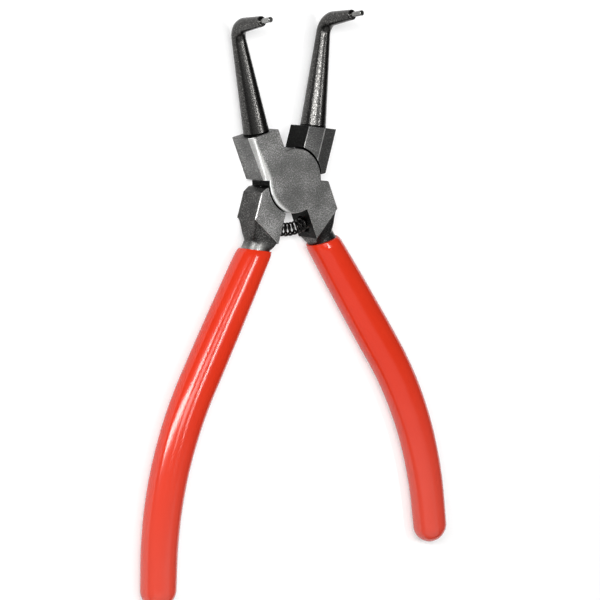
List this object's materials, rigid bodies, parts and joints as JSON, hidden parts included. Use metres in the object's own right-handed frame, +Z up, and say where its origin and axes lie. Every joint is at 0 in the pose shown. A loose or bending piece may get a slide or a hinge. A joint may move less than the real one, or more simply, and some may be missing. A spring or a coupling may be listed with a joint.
{
  "type": "circlip pliers",
  "caption": "Internal circlip pliers with bent conical jaws, pressed tip pins, a riveted lap joint, a return spring and red dipped grips; squeezing the handles closes the tips.",
  "frame": {"origin": "on the pivot axis, at the back face of the head, which lies on the surface", "axes": "+Y from the pivot towards the jaws, +Z up along the pivot axis, the way the bent tips point"},
  "size_m": [0.123, 0.1797, 0.0229],
  "materials": {
    "lever_steel": "forged steel, blasted head and blackened jaws",
    "rivet_steel": "ground flush",
    "tip_steel": "hardened bright steel",
    "grip_vinyl": "glossy dipped soft PVC",
    "spring_steel": "blackened spring wire"
  },
  "bodies": {
    "rear": {"rear_lever": "lever_steel", "rear_grip": "grip_vinyl", "rear_tip": "tip_steel", "pivot_rivet": "rivet_steel", "return_spring": "spring_steel"},
    "front": {"front_lever": "lever_steel", "front_grip": "grip_vinyl", "front_tip": "tip_steel"}
  },
  "joints": [
    {"name": "pivot", "type": "hinge", "parent": "rear", "child": "front", "pos_m": [0, 0, 0], "axis": [0, 0, -1], "range_deg": [-9.5, 33], "stiffness_Nm_per_rad": 0.25, "deforming": ["return_spring"]}
  ]
}
